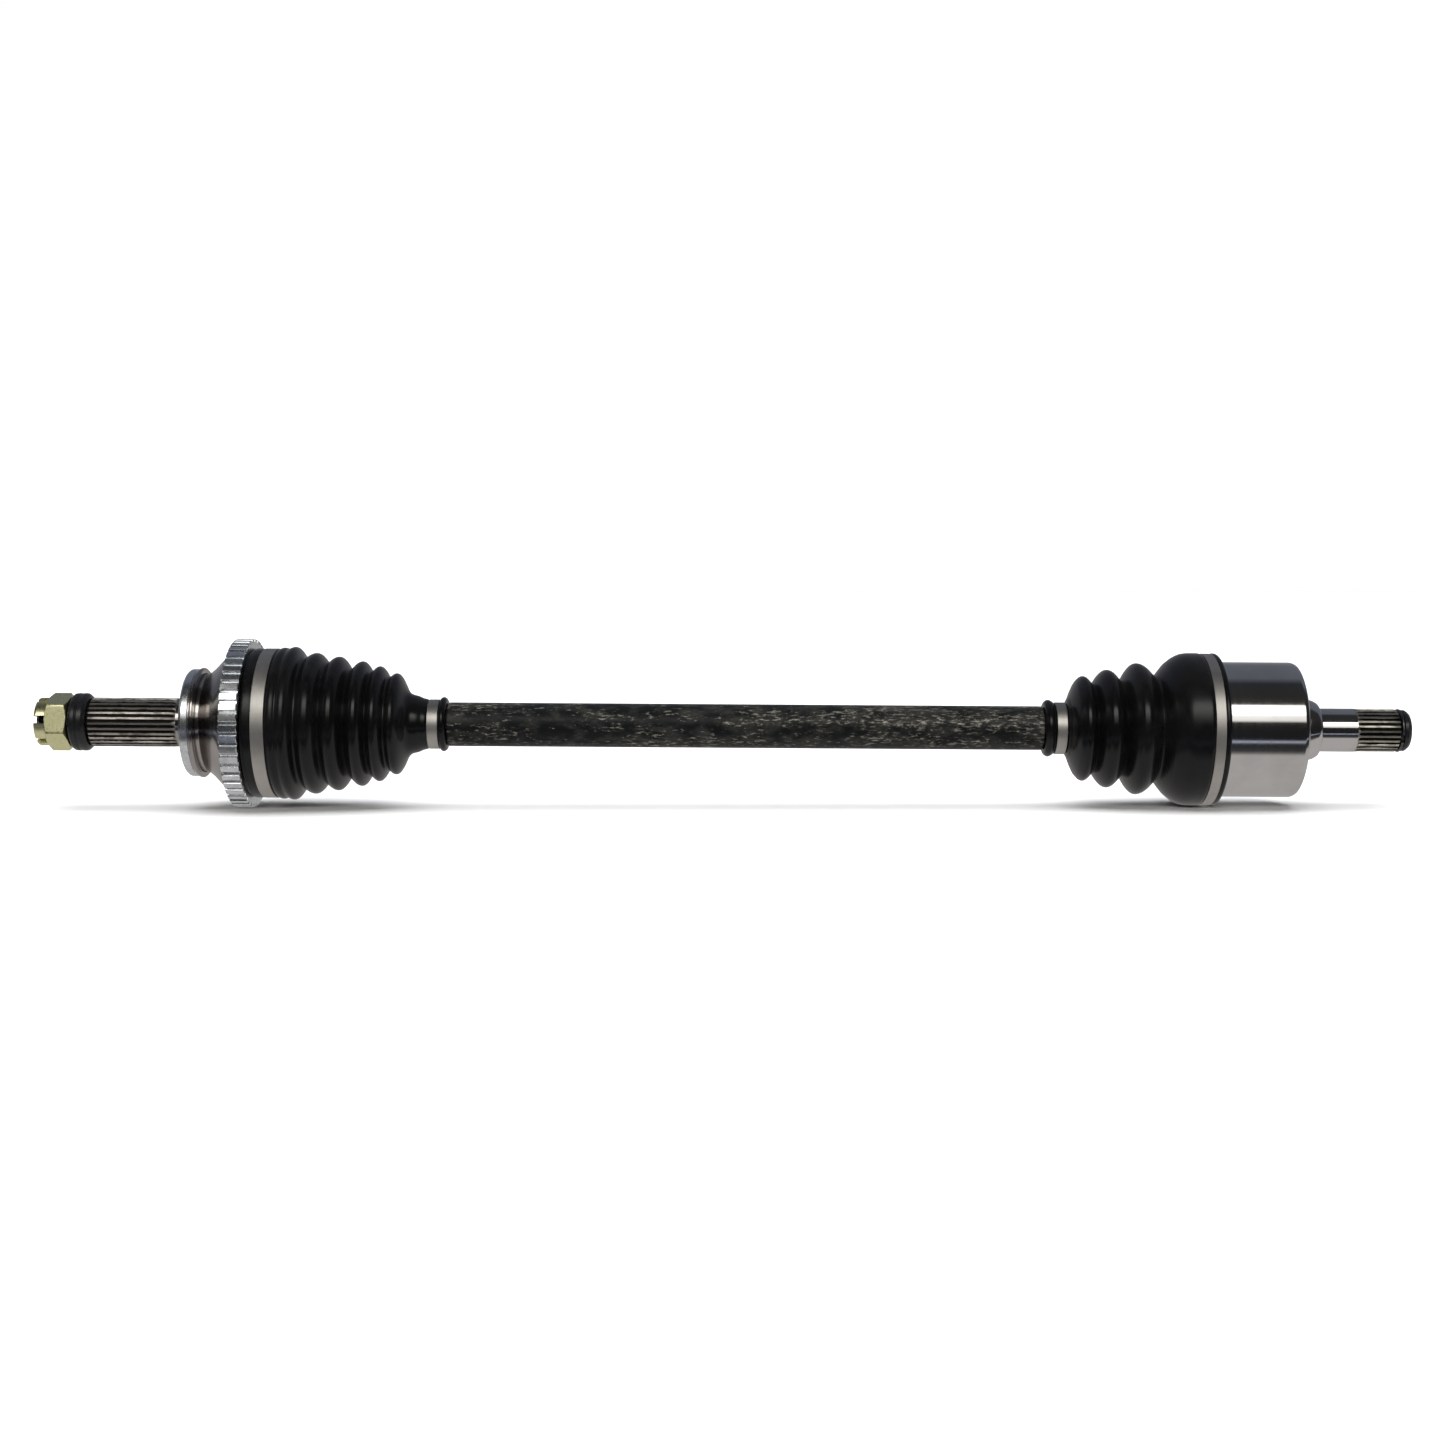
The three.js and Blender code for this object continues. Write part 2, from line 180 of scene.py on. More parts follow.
def spread(points, step):
    """A polyline with points added so that no step along it is longer than step."""
    out = [points[0]]
    for (x0, r0), (x1, r1) in zip(points, points[1:]):
        n = max(1, math.ceil(math.hypot(x1 - x0, r1 - r0) / step))
        out += [(x0 + (x1 - x0) * k / n, r0 + (r1 - r0) * k / n) for k in range(1, n + 1)]
    return out


def tooth_angles(count, marks):
    """The angles at which a toothed ring has vertices."""
    pitch = TAU / count
    return np.array([(i + m) * pitch for i in range(count) for m in marks])


def tooth_radius(count, root, tip, marks, heights):
    """Radius at each angle: heights holds the share of a tooth's height at each mark of one pitch."""
    def radius(angles):
        u = (angles / (TAU / count) - marks[0]) % 1.0 + marks[0]
        share = np.interp(u, list(marks) + [marks[0] + 1], list(heights) + [heights[0]])
        return root + (tip - root) * share
    return radius


def spline_radius(count, root, tip):
    return tooth_radius(count, root, tip, SPLINE_MARKS, SPLINE_HEIGHTS)


# ------------------------------------------------------------------ materials
def material(name, base, metallic=0.0, rough=0.5, **constants):
    mat = bpy.data.materials.new(name)
    mat.use_nodes = True
    bsdf = mat.node_tree.nodes["Principled BSDF"]
    bsdf.inputs["Base Color"].default_value = (*base, 1)
    bsdf.inputs["Metallic"].default_value = metallic
    bsdf.inputs["Roughness"].default_value = rough
    for key, value in constants.items():
        bsdf.inputs[key.replace("_", " ")].default_value = value
    return mat


class Nodes:
    """Short names for adding nodes to one material."""

    def __init__(self, mat):
        self.tree = mat.node_tree
        self.bsdf = self.tree.nodes["Principled BSDF"]

    def add(self, kind, **inputs):
        node = self.tree.nodes.new(kind)
        for key, value in inputs.items():
            target = node.inputs[key.replace("_", " ")]
            if isinstance(value, bpy.types.NodeSocket):
                self.tree.links.new(value, target)
            else:
                target.default_value = value
        return node

    def coords(self, scale=(1, 1, 1)):
        where = self.add("ShaderNodeTexCoord").outputs["Object"]
        return self.add("ShaderNodeMapping", Vector=where, Scale=scale).outputs[0]

    def noise(self, scale, detail=4.0, stretch=(1, 1, 1), rough=0.55, distortion=0.0):
        return self.add("ShaderNodeTexNoise", Vector=self.coords(stretch), Scale=scale, Detail=detail,
                        Roughness=rough, Distortion=distortion).outputs["Fac"]

    def ramp(self, value, *stops):
        node = self.add("ShaderNodeValToRGB", Fac=value)
        stop = node.color_ramp.elements
        while len(stop) < len(stops):
            stop.new(0.5)
        for e, (at, colour) in zip(stop, stops):
            e.position = at
            e.color = (*colour, 1) if isinstance(colour, tuple) else (colour, colour, colour, 1)
        return node.outputs[0]

    def mix(self, factor, a, b, mode="MIX"):
        node = self.tree.nodes.new("ShaderNodeMix")
        node.data_type = "RGBA"
        node.blend_type = mode
        for socket, value in ((node.inputs[0], factor), (node.inputs[6], a), (node.inputs[7], b)):
            if isinstance(value, bpy.types.NodeSocket):
                self.tree.links.new(value, socket)
            else:
                socket.default_value = (*value, 1) if isinstance(value, tuple) else value
        return node.outputs[2]

    def span(self, value, low, high, to_low, to_high):
        return self.add("ShaderNodeMapRange", Value=value, From_Min=low, From_Max=high,
                        To_Min=to_low, To_Max=to_high).outputs[0]

    def math(self, operation, *values):
        node = self.tree.nodes.new("ShaderNodeMath")
        node.operation = operation
        for target, value in zip(node.inputs, values):
            if isinstance(value, bpy.types.NodeSocket):
                self.tree.links.new(value, target)
            else:
                target.default_value = value
        return node.outputs[0]

    def radius(self):
        """Distance from the shaft's centreline."""
        where = self.add("ShaderNodeTexCoord").outputs["Object"]
        node = self.add("ShaderNodeVectorMath", Vector=where)
        node.operation = "MULTIPLY"
        node.inputs[1].default_value = (0, 1, 1)
        length = self.add("ShaderNodeVectorMath", Vector=node.outputs[0])
        length.operation = "LENGTH"
        return length.outputs["Value"]

    def colour(self, socket):
        self.tree.links.new(socket, self.bsdf.inputs["Base Color"])

    def rough(self, socket):
        self.tree.links.new(socket, self.bsdf.inputs["Roughness"])

    def metallic(self, socket):
        self.tree.links.new(socket, self.bsdf.inputs["Metallic"])

    def bump(self, *heights):
        """Each height is (socket, strength, distance in metres)."""
        normal = None
        for socket, strength, distance in heights:
            node = self.add("ShaderNodeBump", Height=socket, Strength=strength, Distance=distance)
            if normal is not None:
                self.tree.links.new(normal, node.inputs["Normal"])
            normal = node.outputs[0]
        self.tree.links.new(normal, self.bsdf.inputs["Normal"])


def turned_steel(name, base, dark, rough, marks):
    """Steel turned or ground round the axis: fine rings, a little staining."""
    mat = material(name, base, 1.0, rough[0])
    n = Nodes(mat)
    rings = n.noise(1.0, 5.0, (1400, 9, 9), 0.7)
    stain = n.noise(26.0, 5.0, (1, 1, 1), 0.6)
    n.colour(n.mix(n.ramp(stain, (0.45, 0.0), (0.75, 0.8)), base, dark))
    n.rough(n.span(rings, 0.3, 0.7, *rough))
    n.bump((rings, marks, 0.00004), (n.noise(420.0, 3.0), 0.05, 0.00003))
    return mat


def splined_steel(name, root, tip, clean, root_shade_and_grime):
    """Teeth with worn bright tips and painted shade in the roots: darker towards the root, its edge broken up
    by dirt noise.
    """
    mat = material(name, clean, 1.0, 0.3)
    n = Nodes(mat)
    depth = n.span(n.radius(), root * MM, tip * MM, 0.0, 1.0)
    dirt = n.noise(240.0, 6.0, (0.4, 1, 1), 0.7)
    level = n.math("ADD", depth, n.span(dirt, 0.3, 0.7, -0.6, 0.35))
    # Painted shade: the roots are painted near black by depth, mixed with dirt noise, while the tips keep the
    # clean colour.
    share = n.ramp(level, (0.30, 0.0), (0.92, 1.0))
    n.colour(n.mix(share, root_shade_and_grime, clean))
    n.rough(n.span(share, 0.0, 1.0, 0.62, 0.34))
    n.bump((dirt, 0.25, 0.00015), (n.noise(1.0, 3.0, (40, 2600, 2600)), 0.12, 0.00003))
    return mat


def make_rubber():
    mat = material("rubber_black", (0.006, 0.006, 0.0062), 0.0, 0.24, Specular_IOR_Level=0.29)
    n = Nodes(mat)
    bloom = n.noise(34.0, 5.0, (1, 1, 1), 0.6)
    grain = n.noise(1500.0, 2.0)
    dusty = n.ramp(bloom, (0.5, 0.0), (0.85, 1.0))
    n.colour(n.mix(dusty, (0.003, 0.003, 0.0033), (0.009, 0.0085, 0.008)))
    n.rough(n.span(bloom, 0.3, 0.7, 0.16, 0.28))
    n.bump((grain, 0.10, 0.00004), (n.noise(140.0, 3.0), 0.05, 0.0003))
    return mat


def make_stainless():
    mat = material("clamp_stainless", (0.62, 0.60, 0.56), 1.0, 0.36)
    n = Nodes(mat)
    brushed = n.noise(1.0, 4.0, (3200, 22, 22), 0.7)
    tint = n.noise(60.0, 3.0)
    dull = n.ramp(tint, (0.4, 0.0), (0.7, 1.0))
    n.colour(n.mix(dull, (0.56, 0.535, 0.50), (0.46, 0.44, 0.415)))
    n.rough(n.span(brushed, 0.3, 0.7, 0.40, 0.54))
    n.bump((brushed, 0.2, 0.00005))
    return mat


def make_zinc_bright():
    mat = material("zinc_bright", (0.72, 0.74, 0.76), 1.0, 0.26)
    n = Nodes(mat)
    spangle = n.noise(420.0, 5.0, (0.5, 1, 1), 0.65, 0.3)
    dull = n.noise(90.0, 4.0)
    bright = n.ramp(spangle, (0.36, 0.0), (0.62, 1.0))
    n.colour(n.mix(bright, (0.60, 0.62, 0.64), (0.80, 0.82, 0.84)))
    n.rough(n.span(dull, 0.3, 0.7, 0.18, 0.32))
    n.bump((spangle, 0.05, 0.00005))
    return mat


def make_zinc_yellow():
    mat = material("zinc_yellow", (0.80, 0.78, 0.52), 1.0, 0.3)
    n = Nodes(mat)
    tint = n.noise(95.0, 4.0, (1, 1, 1), 0.6, 0.4)
    speck = n.noise(620.0, 4.0)
    greenish = n.ramp(tint, (0.38, 0.0), (0.62, 1.0))
    film = n.mix(greenish, (0.84, 0.80, 0.48), (0.76, 0.755, 0.43))
    n.colour(n.mix(n.ramp(speck, (0.60, 0.0), (0.80, 0.5)), film, (0.58, 0.48, 0.35)))
    n.rough(n.span(speck, 0.3, 0.7, 0.24, 0.36))
    n.bump((speck, 0.12, 0.00006))
    return mat


def make_black_steel():
    mat = material("black_oxide", (0.009, 0.009, 0.010), 0.0, 0.26, Specular_IOR_Level=0.4)
    n = Nodes(mat)
    scuff = n.noise(150.0, 5.0, (1, 1, 1), 0.65)
    rubbed = n.ramp(scuff, (0.6, 0.0), (0.8, 1.0))
    n.colour(n.mix(rubbed, (0.007, 0.007, 0.008), (0.04, 0.038, 0.036)))
    n.rough(n.span(scuff, 0.3, 0.7, 0.18, 0.36))
    n.bump((scuff, 0.15, 0.0001))
    return mat


def make_bar():
    """Black mill scale, rubbed through to dull metal in streaks, most of all at the ends."""
    mat = material("bar_mill_scale", (0.012, 0.012, 0.013), 0.0, 0.4, Specular_IOR_Level=0.11)
    n = Nodes(mat)
    patch = n.noise(30.0, 4.0, (0.45, 1, 1), 0.6, 0.4)
    rows = n.noise(120.0, 3.0, (0.16, 1, 1), 0.5)
    fleck = n.noise(720.0, 5.0, (0.30, 1, 1), 0.7)
    along = n.add("ShaderNodeSeparateXYZ", Vector=n.coords()).outputs["X"]
    off_middle = n.math("ABSOLUTE", along)
    wear = fleck
    for part in (n.span(patch, 0.3, 0.7, -0.09, 0.055), n.span(rows, 0.3, 0.7, -0.08, 0.075),
                 n.span(off_middle, 0.10, 0.17, 0.0, 0.035)):
        wear = n.math("ADD", wear, part)
    share = n.ramp(wear, (0.535, 0.0), (0.73, 1.0))
    polish = n.ramp(fleck, (0.46, 0.0), (0.74, 1.0))
    metal = n.mix(polish, (0.10, 0.094, 0.081), (0.42, 0.395, 0.335))
    cloud = n.noise(170.0, 5.0, (0.5, 1, 1), 0.65)
    cloud = n.math("ADD", cloud, n.span(patch, 0.3, 0.7, -0.08, 0.08))
    hazy = n.ramp(cloud, (0.44, 0.0), (0.68, 1.0))
    scale = n.mix(hazy, (0.0055, 0.0062, 0.0066), (0.026, 0.0255, 0.023))
    n.colour(n.mix(share, scale, metal))
    n.metallic(n.span(share, 0.0, 1.0, 0.0, 0.85))
    n.rough(n.span(share, 0.0, 1.0, 0.36, 0.44))
    n.bump((wear, 0.22, 0.00014), (n.noise(1200.0, 3.0), 0.08, 0.00003))
    return mat


def make_bearing():
    mat = material("bearing_steel", (0.68, 0.69, 0.70), 1.0, 0.14)
    n = Nodes(mat)
    film = n.noise(90.0, 4.0)
    oily = n.ramp(film, (0.5, 0.0), (0.75, 1.0))
    n.colour(n.mix(oily, (0.70, 0.71, 0.72), (0.42, 0.38, 0.30)))
    n.rough(n.span(film, 0.3, 0.7, 0.10, 0.24))
    return mat


def make_spring():
    mat = material("spring_steel", (0.16, 0.16, 0.17), 1.0, 0.3)
    n = Nodes(mat)
    film = n.noise(300.0, 4.0)
    oily = n.ramp(film, (0.4, 0.0), (0.7, 1.0))
    n.colour(n.mix(oily, (0.20, 0.20, 0.215), (0.07, 0.065, 0.065)))
    n.rough(n.span(film, 0.3, 0.7, 0.24, 0.4))
    return mat


RUBBER = make_rubber()
STAINLESS = make_stainless()
ZINC = make_zinc_bright()
YELLOW = make_zinc_yellow()
BLACK = make_black_steel()
BAR = make_bar()
BEARING = make_bearing()
SPRING = make_spring()
HOUSING = turned_steel("housing_ground", (0.60, 0.59, 0.585), (0.50, 0.47, 0.46), (0.07, 0.15), 0.05)
BELL = turned_steel("bell_turned", (0.40, 0.375, 0.36), (0.24, 0.21, 0.19), (0.10, 0.19), 0.06)
# The last colour of each is painted shade in the roots of the thread or spline, with some dirt.
THREAD = splined_steel("thread_steel", 9.9, 10.9, (0.62, 0.61, 0.62), (0.05, 0.045, 0.04))
HUB_SPLINE = splined_steel("hub_spline_steel", HUB_ROOT, HUB_TIP,
                           (0.52, 0.485, 0.445), (0.022, 0.019, 0.016))
DIFF_SPLINE = splined_steel("diff_spline_steel", DIFF_ROOT, DIFF_TIP,
                            (0.52, 0.50, 0.43), (0.014, 0.013, 0.011))


def dress(obj, body, mats, zones=None, nodes=()):
    """Gives the piece its materials and its body, and hides the CAD nodes that it stands for.
    zones says which material each stretch of x has: [(up to x in mm, index), ...]."""
    for m in mats if isinstance(mats, (list, tuple)) else [mats]:
        obj.data.materials.append(m)
    if zones:
        edges, picks = [z[0] for z in zones], [z[1] for z in zones]
        for p in obj.data.polygons:
            x = p.center.x / MM
            p.material_index = next((k for e, k in zip(edges, picks) if x <= e), picks[-1])
    if nodes:
        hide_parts(*nodes)
    if body:
        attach(obj, body)
    return obj


# ------------------------------------------------------------------ hub nut and washer
# The middle of the flat at the front, counted from +Y towards +Z: 9 degrees above level.
NUT_TURN = math.radians(180 - 9)
HEX_LEFT, HEX_RIGHT, FLATS = -401.4, -388.8, 30.0
SLOT_HALF = math.radians(9.6)


def from_flat(angles):
    """Each angle, counted from the middle of the nearest flat."""
    return (angles - NUT_TURN + math.pi / 6) % (math.pi / 3) - math.pi / 6


def hexagon(limit):
    """Radius of the hexagon at each angle, no further out than limit."""
    def radius(angles):
        return np.minimum(FLATS / 2 / np.cos(from_flat(angles)), limit)
    return radius


def crown_top(top, floor):
    """Height of the crown: the floor of the slots, and the top between them."""
    def x(angles):
        return np.where(np.abs(from_flat(angles)) < SLOT_HALF, floor, top)
    return x


def make_nut():
    marks = sorted({0.0, 3.0, 6.0, 9.2, 9.58, 9.62, 10.0, 13.0, 17.0, 21.0, 25.0, 27.5, 29.0, 29.7, 30.0})
    degrees = sorted({s * m + 60 * k for k in range(6) for m in marks for s in (-1, 1)})
    unique = sorted({round(d % 360, 4) for d in degrees})
    angles = np.radians(np.array(unique)) + NUT_TURN
    floor = HEX_LEFT + 0.6
    rows = [(HEX_RIGHT, 11.3), (HEX_RIGHT, 14.4)]
    for k in range(7):                          # chamfered corners of the bearing face
        t = k / 6
        rows.append((HEX_RIGHT - 1.5 * t, hexagon(15.0 + 2.4 * t)))
    for k in range(7):                          # and of the crown's side
        t = k / 6
        rows.append((HEX_LEFT + 1.5 - 1.5 * t, hexagon(17.4 - 2.4 * t)))
    rows += [(HEX_LEFT, 14.45)]
    rows += [(crown_top(HEX_LEFT - 0.1, floor), 14.3), (crown_top(LOW + 2.0, floor), 14.3)]
    for k in range(5):                          # rounded shoulder of the crown
        t = k / 4 * math.pi / 2
        rows.append((crown_top(LOW + 1.6 - 1.6 * math.sin(t), floor), 12.7 + 1.6 * math.cos(t)))
    rows += [(crown_top(LOW, floor), 11.9), (crown_top(LOW + 0.7, floor), 11.25)]
    rows += [(crown_top(HEX_LEFT - 0.1, floor), 11.25), (HEX_LEFT + 1, 11.25)]
    return lathe("castle_nut_body", rows, angles, closed=True, sharp=26)


dress(make_nut(), "wheel_side", YELLOW, nodes=["castle_nut"])

washer = soften([
    (-388.4, 11.3), (-388.4, 14.4), (-386.2, 17.1), (-383.6, 17.25), (-382.9, 16.4), (-382.2, 17.2),
    (-379.4, 17.2), (-377.3, 15.2), (-377.3, 11.3)], 0.6, 4, closed=True)
dress(lathe("hub_washer", washer, closed=True), "wheel_side", BLACK, nodes=["nut_washer"])


# ------------------------------------------------------------------ bell with splined stub
RUN_OUT = -328.4                # where the hub spline starts to rise out
BELL_SHARP = 38                 # degrees between faces that keep a hard edge
THREAD_PITCH = 1.5
COTTER_X, COTTER_R = -404.2, 1.9


def make_bell():
    def tooth(tip):
        return spline_radius(HUB_TEETH, HUB_ROOT, tip)

    rows = [(-405.2, 0), (-407.35, 2.6), (-407.4, 2.9), (-407.4, 9.3), (-406.6, 10.2)]
    rows += [(x, thread(x)) for x in np.arange(-406.4, -387.0, 0.3)]
    rows += [(-386.8, 10.2), (-386.4, 10.9), (-377.1, 10.9), (-377.0, 13.3)]
    rows += [(-376.6, tooth(13.9)), (-376.0, tooth(14.4))]
    rows += [(x, tooth(HUB_TIP)) for x in (-375.4, -366, -352, -338, RUN_OUT)]
    for k in range(1, 7):                       # the cutter's run-out rises to the plain neck
        t = k / 6
        rows.append((RUN_OUT + 4.4 * t,
                     spline_radius(HUB_TEETH, HUB_ROOT + 1.0 * t * t, HUB_TIP - 0.2 * t)))
    rows += soften([
        (-323.6, 14.4), (-320.6, 14.4), (-318.3, 16.2), (-318.3, 29.2), (-306.2, 29.2), (-304.6, 30.4),
        (-301.5, 32.9), (-298.9, 35.6), (-296, 38.6), (-293.2, 41.6), (-291.4, 43.2), (-290.6, 43.4),
        (-279.5, 43.4), (-279.5, 41), (-262.6, 41), (-262, 40.4), (-262, 37.4), (-263, 36.9)], 0.8, 4)
    rows.append((-268, 37.6))
    # the bowl round the balls, from the mouth inwards, by the distance from the joint's centre
    rows += [(OUTER_X + x, r) for x, r in (
        (4, 38.1), (-6, 37.9), (-12, 36.4), (-18, 33.9), (-19.4, 27.6),
        (-26, 21.6), (-31, 13.4), (-33.4, 5), (-33.8, 0))]
    return lathe("outer_bell_forging", rows, tooth_angles(HUB_TEETH, SPLINE_MARKS), sharp=BELL_SHARP)


def thread(x):
    """Radius of the M22 thread at x, round the stub."""
    def radius(a):
        u = (x / THREAD_PITCH - a / TAU) % 1.0
        return 10.05 + 0.85 * np.clip(2.4 * np.abs(u - 0.5) - 0.1, 0, 1)
    return radius


def drilled(bell):
    """The bell with the cotter pin's hole through its stub, in line with two of the nut's slots."""
    bm = bmesh.new()
    bmesh.ops.create_cone(bm, cap_ends=True, segments=28, radius1=COTTER_R * MM, radius2=COTTER_R * MM,
                          depth=30 * MM)
    drill_mesh = bpy.data.meshes.new("drill")
    bm.to_mesh(drill_mesh)
    bm.free()
    drill = bpy.data.objects.new("drill", drill_mesh)
    scene.collection.objects.link(drill)
    across = Matrix.Rotation(NUT_TURN, 4, "X") @ Matrix.Rotation(math.pi / 2, 4, "X")
    drill.matrix_world = Matrix.Translation((COTTER_X * MM, 0, 0)) @ across
    cut = bell.modifiers.new("cotter_hole", "BOOLEAN")
    cut.operation, cut.solver, cut.object = "DIFFERENCE", "EXACT", drill
    bpy.context.view_layer.update()
    result = bpy.data.meshes.new_from_object(bell.evaluated_get(bpy.context.evaluated_depsgraph_get()))
    bell.modifiers.clear()
    bell.data = result
    bpy.data.objects.remove(drill)
    bell.data.shade_smooth()
    bell.data.set_sharp_from_angle(angle=math.radians(BELL_SHARP))
    return bell


dress(drilled(make_bell()), "wheel_side", [THREAD, HUB_SPLINE, BELL],
      zones=[(-377.05, 0), (-323.8, 1), (0, 2)], nodes=["outer_bell"])

ring = soften([
    (-317.8, 29.5), (-317.8, 30.9), (-316.5, 32.0), (-312.9, 32.0), (-312.3, 31.2), (-311.8, 31.2),
    (-311.3, 32.5), (-310.6, 32.8), (-309.8, 32.7), (-309.0, 31.8), (-309.0, 29.5)], 0.3, 3, closed=True)
dress(lathe("dust_slinger", ring, closed=True), "wheel_side", [ZINC, BELL],
      zones=[(-312.2, 0), (0, 1)], nodes=["dust_ring"])


def make_tone_ring():
    teeth, root, tip = 50, 48.1, 50.0
    marks = (-0.5, -0.37, -0.345, -0.30, -0.275, 0.0, 0.275, 0.30, 0.345, 0.37)
    heights = (0.0, 0.0, 0.06, 0.9, 1.0, 1.0, 1.0, 0.9, 0.06, 0.0)
    angles = tooth_angles(teeth, marks)

    def tooth(inset):
        return tooth_radius(teeth, root - inset * 0.4, tip - inset, marks, heights)

    left, right = -290.2, -279.6
    rows = [(left, 43.9), (left, 46.4), (left, tooth(0.45)), (left + 0.12, tooth(0.2)),
            (left + 0.4, tooth(0.0)), (right - 0.4, tooth(0.0)), (right - 0.12, tooth(0.2)),
            (right, tooth(0.45)), (right, 46.4), (right, 43.9)]
    return lathe("abs_tone_ring", rows, angles, closed=True, sharp=30)


dress(make_tone_ring(), "wheel_side", ZINC, nodes=["tone_ring"])


# ------------------------------------------------------------------ boots
def folds(points, steps=9):
    """A boot's profile through (x, r, kind): kind "v" is the bottom of a valley, "c" the top of a fold,
    and "-" a corner on a straight run. Folds are round on top and the valleys between them narrow."""
    out = [points[0][:2]]
    for (x0, r0, k0), (x1, r1, k1) in zip(points, points[1:]):
        if k0 == "-" and k1 == "-":
            out += spread([(x0, r0), (x1, r1)], 1.5)[1:]
            continue
        for i in range(1, steps + 1):
            u = i / steps
            if k1 == "c":
                share = math.sin(u * math.pi / 2) ** (0.92 if k0 == "v" else 1.0)
            elif k0 == "c":
                share = 1 - math.cos(u * math.pi / 2) ** (0.92 if k1 == "v" else 1.0)
            else:
                share = u
            out.append((x0 + (x1 - x0) * u, r0 + (r1 - r0) * share))
    return out


def rounded_valleys(profile, passes=2):
    """Takes the knife edge off the valleys without moving the ends."""
    pts = [Vector(p) for p in profile]
    for _ in range(passes):
        pts = [pts[0]] + [(a + 2 * b + c) / 4 for a, b, c in zip(pts, pts[1:], pts[2:])] + [pts[-1]]
    return [(p.x, p.y) for p in pts]


def cut_profile(profile, low, high):
    """The stretch of a profile between two x, with its end points exactly there."""
    xs = [p[0] for p in profile]
    rs = [p[1] for p in profile]
    inside = [(x, r) for x, r in profile if low + 1e-4 < x < high - 1e-4]
    return [(low, float(np.interp(low, xs, rs)))] + inside + [(high, float(np.interp(high, xs, rs)))]


def boot_piece(name, outside, inside, low, high):
    """A closed shell of the boot between two x. Neighbouring pieces share their end rings."""
    outer = cut_profile(outside, low, high)
    inner = cut_profile(inside, low, high)
    rows = outer + inner[::-1]
    return lathe(name, rows, closed=True, sharp=50)


outer_skin = rounded_valleys(folds([
    (-279.2, 43.9, "-"), (-278.6, 44.6, "-"), (-273.8, 44.7, "-"), (-273.4, 43.5, "-"), (-264.8, 43.5, "-"),
    (-264.2, 44.4, "-"), (-261.6, 45.2, "c"), (-259.2, 44.1, "v"), (-255.2, 45.7, "c"), (-249.6, 38.4, "v"),
    (-242.6, 42.2, "c"), (-236.0, 35.6, "v"), (-229.2, 40.1, "c"), (-222.2, 31.6, "v"), (-215.2, 37.4, "c"),
    (-209.7, 30.6, "v"), (-204.9, 34.5, "c"), (-199.4, 27.4, "v"), (-194.8, 30.4, "c"), (-188.2, 20.0, "-"),
    (-185.8, 17.6, "-"), (-181.4, 16.9, "-"), (-179.0, 15.3, "-"), (-176.0, 15.1, "-"), (-175.7, 13.8, "-"),
    (-168.9, 13.8, "-"), (-168.5, 15.5, "-"), (-166.8, 16.3, "c"), (-164.9, 15.2, "-"), (-164.5, 14.0, "-")]))
outer_lining = [
    (-279.2, 41.3), (-262.0, 41.3), (-259, 41.8), (-255.2, 43.2), (-250.2, 37.2), (-242.6, 40.0),
    (-236.4, 34.5), (-229.2, 37.9), (-222.6, 29.9), (-215.2, 35.2), (-209.9, 28.9), (-204.9, 32.3),
    (-199.6, 25.7), (-194.8, 28.0), (-189.4, 20.0), (-186.4, 15.4), (-181.6, 14.4), (-180.0, 11.3),
    (-164.5, 11.3)]
inner_skin = rounded_valleys(folds([
    (190.8, 14.4, "-"), (191.2, 15.6, "-"), (193.6, 17.0, "c"), (196.6, 15.6, "-"), (197.1, 14.4, "-"),
    (204.0, 14.4, "-"), (204.4, 16.4, "-"), (205.8, 18.6, "-"), (207.6, 23.4, "-"), (209.6, 27.6, "-"),
    (214.3, 31.4, "c"),
    (219.9, 26.2, "v"), (228.6, 35.3, "c"), (236.8, 28.0, "v"), (246.0, 39.3, "c"), (256.8, 31.0, "v"),
    (263.6, 39.6, "-"), (268.0, 43.0, "-"), (271.6, 44.8, "-"), (275.2, 45.45, "-"), (283.4, 45.5, "-"),
    (283.8, 44.2, "-"), (290.0, 44.2, "-"), (290.3, 45.2, "-"), (291.0, 45.5, "-"), (292.2, 45.5, "-"),
    (293.1, 44.9, "-"), (293.4, 43.6, "-")]), 1)
inner_lining = [
    (190.8, 11.3), (204.9, 11.3), (206.6, 14.6), (209.2, 22.4), (214.3, 28.9), (220.1, 24.4), (228.6, 32.8),
    (236.9, 26.2), (246.0, 36.8), (256.9, 29.0), (264.0, 37.4), (270, 41.9), (276, 42.9), (281.4, 41.2),
    (282.4, 40.6), (293.4, 40.6)]

# x where the stretches of each boot meet, from its seat to the shaft
OUTER_SEAT, STEER_END, TILT_END = -256.0, -200.4, -179.4
INNER_SEAT, PLUNGE_END, SWING_END, SHAFT_END = 284.6, 262.0, 250.0, 206.0
BOOTS = {"outer": (outer_skin, outer_lining), "inner": (inner_skin, inner_lining)}


def boot_seat(boot, part, low, high, body, nodes=()):
    """A stretch of a boot that is held on one body."""
    piece = boot_piece(f"{boot}_boot_{part}", *BOOTS[boot], low, high)
    dress(piece, body, RUBBER, nodes=nodes)


def boot_bend(boot, part, near, far):
    """A stretch of a boot between x near and x far, left on no body, with its placement baked into the mesh.
    """
    piece = boot_piece(f"{boot}_boot_{part}", *BOOTS[boot], min(near, far), max(near, far))
    dress(piece, None, RUBBER)
    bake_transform(piece)


boot_seat("outer", "seat", -279.2, OUTER_SEAT, "wheel_side", ["outer_boot"])
boot_bend("outer", "folds", OUTER_SEAT, STEER_END)
boot_bend("outer", "cone", STEER_END, TILT_END)
boot_seat("outer", "neck", TILT_END, -164.5, "half_shaft")

